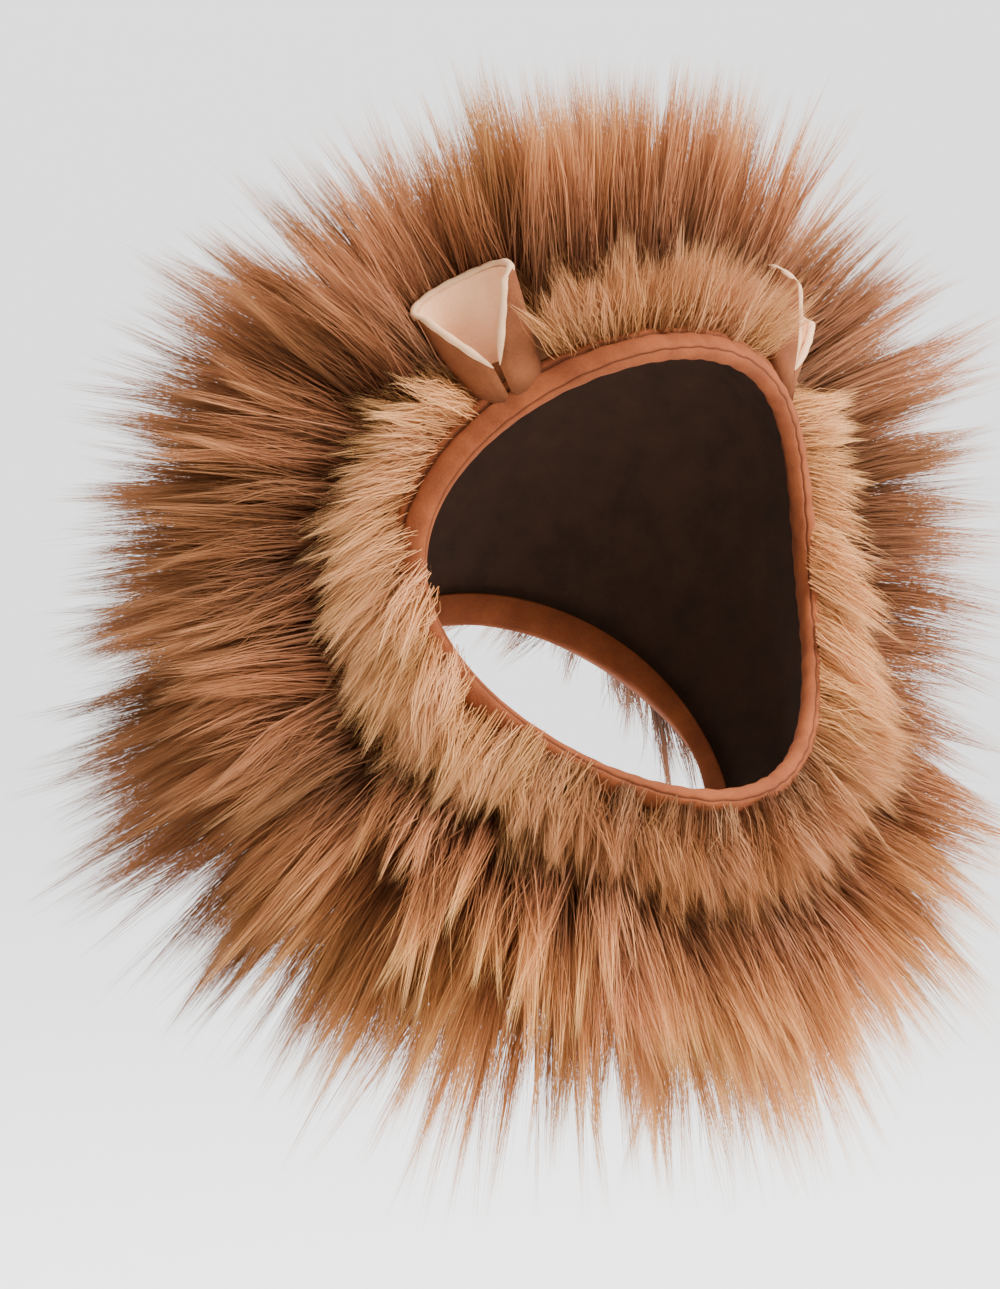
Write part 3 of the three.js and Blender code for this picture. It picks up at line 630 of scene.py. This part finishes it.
def mane_clumps(rng):
    """Clump roots in jittered columns all over the mane's ground."""
    columns, spacing = 66, 8.0
    turns, distances, shares = [], [], []
    for column in range(columns):
        turn = 2 * math.pi * (column + 0.5) / columns
        first = MANE_START + 1.5
        last = float(hood_length(turn)) - HEM_LEG - 2.5
        rows = max(3, round((last - first) / spacing))
        for row in range(rows + 1):
            q = (row + 0.5 * (column % 2)) / (rows + 0.5)
            turns.append(turn + rng.uniform(-0.4, 0.4) * 2 * math.pi / columns)
            place = first + (last - first) * q**1.15 + rng.uniform(-0.35, 0.35) * spacing
            distances.append(np.clip(place, first, last))
            shares.append(q)
        # The front edge is seen from its side all round, so it is denser
        for _ in range(2):
            turns.append(turn + rng.uniform(-0.5, 0.5) * 2 * math.pi / columns)
            distances.append(first + rng.uniform(0, 14))
            shares.append(rng.uniform(0, 0.25))
        # The beard hangs over a short stretch of ground, so it is denser too
        for _ in range(2 if abs(wrap(turn)) / DEGREES > 115 else 0):
            turns.append(turn + rng.uniform(-0.5, 0.5) * 2 * math.pi / columns)
            shares.append(rng.uniform(0.2, 1))
            distances.append(first + (last - first) * shares[-1])
        # The nape's sides spread over the wearer's shoulders
        for _ in range(3 if 75 < abs(wrap(turn)) / DEGREES < 140 else 0):
            turns.append(turn + rng.uniform(-0.5, 0.5) * 2 * math.pi / columns)
            shares.append(rng.uniform(0.8, 1))
            distances.append(first + (last - first) * shares[-1])
    turn, distance, q = (np.array(v) for v in (turns, distances, shares))
    count = len(turn)
    point = frame_at(turn, distance)[0]
    hanging = np.clip((np.abs(wrap(turn)) / DEGREES - 115) / 25, 0, 1)
    swirl = smooth_noise(rng, point, 60)
    drift = smooth_noise(rng, point, 45)
    return {
        "turn": turn,
        "distance": distance,
        "pile": round_value(MANE_ROUND, "pile", turn)
        * (1 + round_value(MANE_ROUND, "rear", turn) * q**1.5)
        * (1.06 + (0.1 + 0.1 * hanging) * rng.uniform(-1, 1, count) + 0.07 * smooth_noise(rng, point, 50))
        * brow_tuft(turn),
        "lean": round_value(MANE_ROUND, "lean", turn)
        + round_value(MANE_ROUND, "fall", turn) * q
        + 0.1 * drift
        + 0.06 * rng.normal(size=count),
        "sway": round_value(MANE_ROUND, "sway", turn) * np.sign(wrap(turn))
        + 0.12 * swirl
        + (0.06 + 0.05 * hanging) * rng.normal(size=count),
        "droop": round_value(MANE_ROUND, "droop", turn),
        "curl": np.abs(rng.normal(size=count)) * (0.05 + 0.06 * hanging),
        "radius": np.full(count, 6.0),
        "gather": rng.uniform(0.35, 0.95, count),
        "stray": np.full(count, 0.015),
        "loose": np.full(count, 0.55),
        "share": q,
        "tone": np.clip(0.5 * smooth_noise(rng, point, 28) + 0.3 * rng.normal(size=count), -1, 1),
    }


MANE_SUB_LOCKS = 8
MANE_STRANDS = {"mane_crown": 19, "mane_nape": 13, "mane_right": 23, "mane_left": 19, "mane_beard": 23}
# Painted light and shade on the mane's locks: the wearer's right side, turned from the key light, painted
# darker, and the crown, lit from above, painted paler
MANE_LIGHT_AND_SHADE = {"mane_right": -0.25, "mane_crown": 0.3}  # paler above nought


def select(clumps, mask):
    return {key: values[mask] for key, values in clumps.items()}


def add_mane():
    rng = np.random.default_rng(11)
    clumps = mane_clumps(rng)
    turn = np.abs(wrap(clumps["turn"]))
    side = np.sign(wrap(clumps["turn"]))
    top = turn < 48 * DEGREES
    beard = turn > 128 * DEGREES
    middle = ~top & ~beard
    pieces = {
        "mane_crown": top & (clumps["share"] < 0.5),
        "mane_nape": top & (clumps["share"] >= 0.5),
        "mane_right": middle & (side < 0),
        "mane_left": middle & (side > 0),
        "mane_beard": beard,
    }
    for number, (name, mask) in enumerate(pieces.items()):
        own = select(clumps, mask)
        # Painted shade on the wearer's right side and painted light on the crown
        own["tone"] = own["tone"] + MANE_LIGHT_AND_SHADE.get(name, 0.0)
        piece_rng = np.random.default_rng(100 + number)
        paths, clump, reach = grow_fur(piece_rng, own, MANE_SUB_LOCKS, MANE_STRANDS[name], spread=2.8)
        free = clear_of_ears(paths, 0.6) & within(paths)
        paths, clump, reach = paths[free], clump[free], reach[free]
        count = len(paths)
        tones = np.clip(piece_rng.normal(size=count) * 0.45, -1, 1)
        widths = piece_rng.uniform(0.26, 0.44, count)
        around = np.abs(wrap(own["turn"])) / DEGREES
        # The beard's tips are painted golden, a painted glow of light shining through the thin strands, and
        # the crown a little paler, painted light from above
        painted_light = np.clip((around - 112) / 30, 0, 1) + 0.6 * np.clip((45 - around) / 15, 0, 1)
        chin = painted_light[clump]
        locks = own["tone"][clump]
        obj = ribbons(name, piece_rng, paths, reach, tones, locks, chin, widths, MANE_FUR)
        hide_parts("mane_fur")


RUFF_SUB_LOCKS = 7
RUFF_STRANDS = 9
FRONT_CLUMPS = 150
FRINGE_START = 82 * DEGREES
FRINGE_SHARE = 0.8


def stack_roots(turn, *settings):
    """Rows of the roots' turns and settings, with single values filled in for all roots."""
    return np.stack([turn] + [np.broadcast_to(v, np.shape(turn)) for v in settings])


def add_ruff():
    rng = np.random.default_rng(21)
    columns, rows = 92, 4
    place = np.repeat(np.arange(columns), rows) + rng.uniform(-0.45, 0.45, columns * rows)
    turn = wrap(place * 2 * math.pi / columns)
    q = (np.tile(np.arange(rows), columns) + 0.5 + rng.uniform(-0.4, 0.4, columns * rows)) / rows
    distance = RUFF_START + 0.3 + (RUFF_END - RUFF_START - 0.6) * q
    # Below the cheeks the fur is sewn over the binding and hides it
    fringe = np.concatenate([turn[::2] + 0.01, turn[1::2] - 0.01])
    covered = (np.abs(fringe) > FRINGE_START) & (rng.uniform(0, 1, len(fringe)) < FRINGE_SHARE)
    fringe = fringe[covered]
    fringe_distance = rng.uniform(-1.5, RUFF_START, len(fringe))
    # A dense row right behind the binding, so that no ground shows there
    front = 2 * math.pi * np.arange(0, 1, 1 / FRONT_CLUMPS) - math.pi
    # Rows: turn, distance, share of the way back, lift, and how much more the fur lies back
    roots = [
        stack_roots(turn, distance, q, ROOT_LIFT, 0.0),
        stack_roots(fringe, fringe_distance, -0.1, BINDING_FACE, 0.7),
        stack_roots(front, RUFF_START + 0.9, 0.15, ROOT_LIFT, 0.0),
    ]
    turn, distance, q, lift, lies_back = np.concatenate(roots, 1)
    grows = ~before_ears(turn, distance)
    turn, distance, q, lift, lies_back = (v[grows] for v in (turn, distance, q, lift, lies_back))
    count = len(turn)
    point = frame_at(turn, distance)[0]
    clumps = {
        "turn": turn,
        "distance": distance,
        "lift": lift,
        "pile": round_value(RUFF_ROUND, "pile", turn)
        * (1.0 + (0.12 + 0.12 * (np.abs(turn) < 35 * DEGREES)) * rng.uniform(-1, 1, count)),
        "lean": round_value(RUFF_ROUND, "lean", turn)
        + 0.45 * q
        + lies_back
        + 0.08 * rng.normal(size=count),
        "sway": round_value(RUFF_ROUND, "sway", turn) * np.sign(turn)
        + 0.18 * smooth_noise(rng, point, 35)
        + 0.08 * rng.normal(size=count),
        "droop": round_value(RUFF_ROUND, "droop", turn),
        "curl": np.abs(rng.normal(size=count)) * 0.07,
        "radius": np.full(count, 3.6),
        "gather": rng.uniform(0.15, 0.65, count),
        "stray": np.full(count, 0.02),
        "loose": np.full(count, 0.7),
        "tone": np.clip(0.6 * smooth_noise(rng, point, 22) + 0.35 * rng.normal(size=count), -1, 1),
    }
    paths, clump, reach = grow_fur(rng, clumps, RUFF_SUB_LOCKS, RUFF_STRANDS, spread=2.1)
    free = clear_of_ears(paths, 0.5) & within(paths)
    paths, clump, reach = paths[free], clump[free], reach[free]
    tones = np.clip(rng.normal(size=len(paths)) * 0.45, -1, 1)
    widths = rng.uniform(0.2, 0.34, len(paths))
    around = np.abs(turn) / DEGREES
    darker = np.clip((around - 124) / 28, 0, 1) + 0.55 * np.clip((40 - around) / 12, 0, 1)
    chin = darker[clump]
    obj = ribbons("ruff", rng, paths, reach, tones, clumps["tone"][clump], chin, widths, RUFF_FUR)
    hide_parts("ruff_fur")


# Cloth rings
def ring_piece(name, outline, material, node, turns, crease_shade=None):
    """A closed ring round the hood from an outline of (distance, lift) arrays for each turn. The crease
    argument says how much painted shade darkens each point of the outline."""
    turn = np.linspace(0, 2 * math.pi, turns, endpoint=False)
    distance, lift = outline(turn)
    grid_turn = np.broadcast_to(turn[:, None], distance.shape)
    verts = frame_at(grid_turn, distance, lift)[0]
    rows, columns = distance.shape
    quads = grid_faces(rows, columns, closed_rows=True, closed_columns=True)
    attributes = {} if crease_shade is None else {"crease_shade": np.tile(crease_shade, rows)}
    obj = quad_mesh(name, verts.reshape(-1, 3), quads, material, attributes=attributes)
    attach(obj, "root")
    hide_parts(*([node] if isinstance(node, str) else node))
    return obj


def cloth_material(name, dark, light):
    """Brushed knitted cloth: soft nap, a fine knit and slight shading from wear."""
    n = Nodes(name, Roughness=0.88, Specular_IOR_Level=0.2, Sheen_Weight=0.12, Sheen_Roughness=0.4)
    n.shader.inputs["Sheen Tint"].default_value = light
    patches = n.noise(90.0, 4.0, 0.6)
    nap = n.noise(1900.0, 2.0, 0.6)
    shade = n.math("ADD", n.math("MULTIPLY", patches, 0.65), n.math("MULTIPLY", nap, 0.35))
    colour = n.ramp(shade, (0.3, dark), (0.72, light))
    # Painted shade: the binding's groove and seam line are mixed towards a deep brown
    crease_shade = n.math("MULTIPLY", n.attribute("crease_shade"), 0.75)
    n.link(n.mix(crease_shade, colour, linear(44, 20, 10)), "Base Color")
    fine = n.noise(1400.0, 2.0, 0.55)
    n.link(n.bump(n.math("ADD", fine, n.math("MULTIPLY", nap, 0.5)), 0.35, 0.0004), "Normal")
    return n.material


BINDING_CLOTH = cloth_material("binding_cloth", linear(104, 50, 24), linear(142, 75, 39))
# The lining's own brown, made darker still with painted shade of the hood's inside
SHADED_LINING_CLOTH = cloth_material("lining_cloth", linear(40, 25, 15), linear(60, 38, 24))
GROUND_CLOTH = cloth_material("fur_ground", linear(96, 58, 34), linear(140, 90, 54))
FELT = cloth_material("ear_felt", linear(94, 49, 26), linear(132, 76, 42))
PLUSH = cloth_material("ear_plush", linear(228, 164, 118), linear(250, 196, 150))
RIM_CLOTH = cloth_material("ear_rim", linear(206, 158, 116), linear(228, 184, 142))


def add_cloth():
    rng = np.random.default_rng(31)

    def lining(turn):
        length = hood_length(turn)[:, None]
        s = np.linspace(0, 1, 32)[None, :]
        distance = np.concatenate([s * length, s[:, ::-1] * length], 1)
        point = face_point(np.broadcast_to(turn[:, None], (len(turn), 32)), s * length)
        folds = smooth_noise(rng, point * np.array([1, 1, 0.35]), 26, 3)
        edge = np.clip(np.minimum(s * length, length - s * length) / 14, 0, 1)
        inner = -LINING_WALL - 0.55 * (0.5 + 0.5 * folds) * edge
        lift = np.concatenate([np.zeros_like(inner), inner[:, ::-1]], 1)
        return distance, lift

    panels = ("lining_crown", "lining_left", "lining_right")
    ring_piece("lining", lining, SHADED_LINING_CLOTH, panels, 200)

    inner, outer = -LINING_WALL - CLEARANCE, CLEARANCE
    under, over = inner - 1.9, outer + 1.9
    leg, roll, strip, seam = 8.0, 3.6, 3.2, 1.2
    # Painted shade in the groove behind the roll and along the roll's seam line
    crease_shade = np.zeros(34)
    crease_shade[6:9] = (0.5, 1.0, 0.5)
    crease_shade[16:19] = (0.25, 1.0, 0.25)

    def binding(turn):
        groove = leg - strip
        angle = math.pi * np.array([0, 0.08, 0.16, 0.23, 0.27, 0.3, 0.33, 0.38, 0.48, 0.6, 0.74, 0.87, 1])
        # A seam line runs along the front of the roll
        pull = np.ones(13)
        pull[4:7] = (0.97, 0.84, 0.97)
        round_front = [
            (-roll * p * math.sin(a), (over + under) / 2 + (over - under) / 2 * p * math.cos(a))
            for a, p in zip(angle, pull)
        ]
        profile = (
            [(leg, outer), (leg + 0.15, outer + 0.5), (leg + 0.1, over - 0.4), (leg - 0.4, over - 0.05)]
            + [(leg - 1.4, over + 0.1), (groove + 1.0, over), (groove + 0.55, over - 0.4)]
            + [(groove, over - seam), (groove - 0.55, over - 0.4), (groove - 1.1, over)]
            + [(groove - 2.4, over + 0.15), (1.0, over + 0.05)]
            + round_front
            + [(1.5, under), (4.5, under), (leg - 0.4, under), (leg, under + 0.5), (leg, inner)]
            + [(4.0, inner), (-CLEARANCE, inner), (-CLEARANCE, outer), (4.0, outer)]
        )
        profile = np.array(profile)
        distance = np.broadcast_to(profile[:, 0], (len(turn), len(profile))).copy()
        lift = np.broadcast_to(profile[:, 1], (len(turn), len(profile))).copy()
        ripple = 0.16 * np.sin(turn * 61 + 2 * np.sin(turn * 7)) + 0.1 * np.sin(turn * 37 + 1.3)
        shown = np.zeros(len(profile))
        shown[1:29] = 1
        lift += ripple[:, None] * shown * np.where(profile[:, 1] > -1.2, 1, -1)
        return distance, lift

    ring_piece("binding", binding, BINDING_CLOTH, "face_binding", 400, crease_shade)

    def hem(turn):
        length = hood_length(turn)[:, None]
        ease = 0.9
        low, high = -LINING_WALL - ease, FUR_FACE + ease
        down, top = low - 1.6, high + 1.6
        profile = np.array(
            [(-9, high), (-9, top - 0.3), (-8.7, top)]
            + [(-6.6, top - 0.25), (-6.2, top - 0.5), (-5.8, top - 0.25)]
            + [(-3, top), (0.9, top), (2.0, top - 0.8), (2.4, top - 2.5)]
            + [(2.4, down + 2.5), (2.0, down + 0.8)]
            + [(0.9, down), (-3, down), (-8.7, down), (-9, down + 0.3), (-9, low), (0.9, low), (0.9, high)]
        )
        distance = length + profile[None, :, 0]
        lift = np.broadcast_to(profile[None, :, 1], distance.shape).copy()
        return distance, lift

    ring_piece("hem", hem, BINDING_CLOTH, "neck_hem", 200)

    def ground(turn):
        start = RUFF_START + 0.1
        length = hood_length(turn)[:, None]
        s = np.linspace(0, 1, 20)[None, :]
        place = start + s * (length - start)
        distance = np.concatenate([place, place[:, ::-1]], 1)
        lift = np.concatenate([np.full_like(place, FUR_FACE), np.full_like(place, CLEARANCE + 0.1)], 1)
        return distance, lift

    obj = ring_piece("fur_ground", ground, GROUND_CLOTH, "mane_fur", 140)
    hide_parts("ruff_fur")


# Ears
def ear_point(across, up, inset):
    rise = up * (1 - EAR_FLAP_DROP * np.abs(across) ** 2.4)
    wrap_share = EAR_WRAPS[0] + (EAR_WRAPS[1] - EAR_WRAPS[0]) * np.maximum(rise, 0)
    angle = across * math.pi * wrap_share
    half_width, half_depth = ear_halves(np.maximum(rise, 0))
    x = (half_width - inset) * np.sin(angle)
    y = (half_depth - inset) * np.cos(angle)
    return np.stack([x, y, EAR_HEIGHT * rise], -1)


def ear_sheet(name, side, outer, inner, reach, material, node):
    """A layer of an ear: a loop round its thickness at each step across, with a soft edge all round."""
    seat, axes = EARS[side]
    across_steps, up_steps = 56, 26
    across = np.linspace(-1, 1, across_steps)
    up = np.linspace(0, 1, up_steps)
    # The loop goes up the outer face, round the rim and down the inner face
    rim_angle = np.linspace(0, math.pi, 7)[1:-1]
    middle, half = (outer + inner) / 2, (inner - outer) / 2
    ups = np.concatenate([up, 1 + half / EAR_HEIGHT * np.sin(rim_angle), up[::-1]])
    insets = np.concatenate(
        [np.full(up_steps, outer), middle - half * np.cos(rim_angle), np.full(up_steps, inner)]
    )
    a, u = np.meshgrid(across, ups, indexing="ij")
    _, inset = np.meshgrid(across, insets, indexing="ij")
    # Side edges are rounded too: the layer's thickness closes over the last step
    closing = np.sqrt(np.clip(1 - ((np.abs(a) - 0.985) / 0.015).clip(0, 1) ** 2, 0, 1))
    inset = middle + (inset - middle) * closing
    rng = np.random.default_rng(41)
    local = ear_point(a * reach, u * reach, inset)
    wobble = smooth_noise(rng, np.stack([a * 9, u * 14, np.zeros_like(a)], -1), 14, 2)
    local[..., 1] += 0.35 * wobble * u
    points = seat + local @ axes
    # The foot is carried down to the fur's ground
    foot = u <= 0
    guess_turn = np.full(foot.sum(), (1 if side == "left" else -1) * EAR_ANGLE)
    place = points[foot]
    for _ in range(4):
        lift, out = above_hood(place, guess_turn, np.full(len(place), float(EAR_SET)))
        place = place - axes[2] * ((lift - FUR_FACE + 0.2) / (out @ axes[2]))[:, None]
    points[foot] = place
    rows, columns = a.shape
    quads = grid_faces(rows, columns, closed_columns=True)
    obj = quad_mesh(name, points.reshape(-1, 3), quads, material)
    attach(obj, "root")
    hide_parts(node)
    return obj


def ear_rim(name, side, node):
    """The lining turned out over the sheet's edge: a soft roll up one side, along the rim and down."""
    seat, axes = EARS[side]
    edge_steps, rim_steps, sides = 26, 60, 10
    up = np.linspace(0.06, 1, edge_steps)
    across = np.linspace(-1, 1, rim_steps)[1:-1]
    path_across = np.concatenate([np.full(edge_steps, -1.0), across, np.full(edge_steps, 1.0)])
    path_up = np.concatenate([up, np.ones(rim_steps - 2), up[::-1]])
    inset = np.full(len(path_up), EAR_FELT * 0.75)
    path = ear_point(path_across, path_up, inset)
    tangent = unit(np.gradient(path, axis=0))
    aside = unit(np.cross(tangent, [0.0, 1.0, 0.3]))
    above = np.cross(tangent, aside)
    angle = np.linspace(0, 2 * math.pi, sides, endpoint=False)
    size = EAR_ROLL * (0.92 + 0.08 * np.sin(np.arange(len(path)) * 0.9))
    size *= np.clip(np.minimum(np.arange(len(path)), np.arange(len(path))[::-1]) / 8 + 0.25, 0, 1)
    around = aside[:, None] * np.cos(angle)[:, None] + above[:, None] * np.sin(angle)[:, None]
    points = seat + (path[:, None] + around * size[:, None, None]) @ axes
    quads = grid_faces(len(path), sides, closed_columns=True)
    obj = quad_mesh(name, points.reshape(-1, 3), quads, RIM_CLOTH)
    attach(obj, "root")
    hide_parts(node)


def add_ears():
    inset = EAR_FELT + CLEARANCE
    reach = 1 - EAR_RIM / EAR_HEIGHT
    for side in EARS:
        felt, lining = f"ear_{side}_felt", f"ear_{side}_lining"
        ear_rim(f"ear_{side}_rim", side, lining)
        ear_sheet(f"ear_{side}_outer", side, 0.0, EAR_FELT, 1.0, FELT, felt)
        ear_sheet(f"ear_{side}_inner", side, inset, inset + EAR_LINING, reach, PLUSH, lining)


add_cloth()
add_ears()
add_ruff()
add_mane()


# Floor, backdrop and light
AIM = (0, 0, -0.08)
# Place in metres, power and width
LIGHTS = {
    "key": ((0.8, -1.4, 1.3), 76, 0.9),
    "fill": ((1.4, -1.2, 0.2), 26, 1.2),
    "top": ((0.2, -0.1, 1.6), 52, 1.0),
}


def add_stage():
    """A sheet of paper in metres: a wide floor that bends up into a wall behind the piece."""
    low = cad_box[0][2] - 0.16
    flat, bend, half, top = 3.6, 1.6, 30.0, 9.0
    profile = [(-half, 0.0), (flat, 0.0)]
    for angle in np.linspace(0.1, math.pi / 2, 16):
        profile.append((flat + bend * math.sin(angle), bend * (1 - math.cos(angle))))
    profile.append((flat + bend, top))
    verts = []
    toward = Vector((-math.sin(CAMERA_AZIMUTH), math.cos(CAMERA_AZIMUTH), 0))
    aside = Vector((toward.y, -toward.x, 0))
    for along_floor, height in profile:
        for end in (-half, half):
            verts.append(toward * along_floor + aside * end + Vector((0, 0, low + height)))
    faces = [(2 * i, 2 * i + 1, 2 * i + 3, 2 * i + 2) for i in range(len(profile) - 1)]
    mesh = bpy.data.meshes.new("backdrop")
    mesh.from_pydata([tuple(v) for v in verts], [], faces)
    mesh.polygons.foreach_set("use_smooth", [True] * len(faces))
    n = Nodes("backdrop_paper", Roughness=0.9)
    grain = n.noise(40.0, 2.0)
    paper = n.ramp(grain, (0.0, linear(240, 240, 240)), (1.0, linear(244, 244, 244)))
    n.link(paper, "Base Color")
    n.link(paper, "Emission Color")
    # The paper looks brighter to the camera than it lights the fur
    seen = n.node("ShaderNodeLightPath").outputs["Is Camera Ray"]
    n.link(n.math("ADD", 0.25, n.math("MULTIPLY", seen, 0.8)), "Emission Strength")
    mesh.materials.append(n.material)
    backdrop = bpy.data.objects.new("backdrop", mesh)
    bpy.context.scene.collection.objects.link(backdrop)


def add_light(name, place, power, size):
    data = bpy.data.lights.new(name, "AREA")
    data.energy = power
    data.size = size
    light = bpy.data.objects.new(name, data)
    light.location = place
    light.rotation_euler = (Vector(AIM) - Vector(place)).to_track_quat("-Z", "Y").to_euler()
    bpy.context.scene.collection.objects.link(light)


add_stage()
for name, settings in LIGHTS.items():
    add_light(name, *settings)
world = bpy.data.worlds.new("studio")
world.use_nodes = True
world.node_tree.nodes["Background"].inputs["Color"].default_value = (1, 1, 1, 1)
world.node_tree.nodes["Background"].inputs["Strength"].default_value = 1.0
bpy.context.scene.world = world
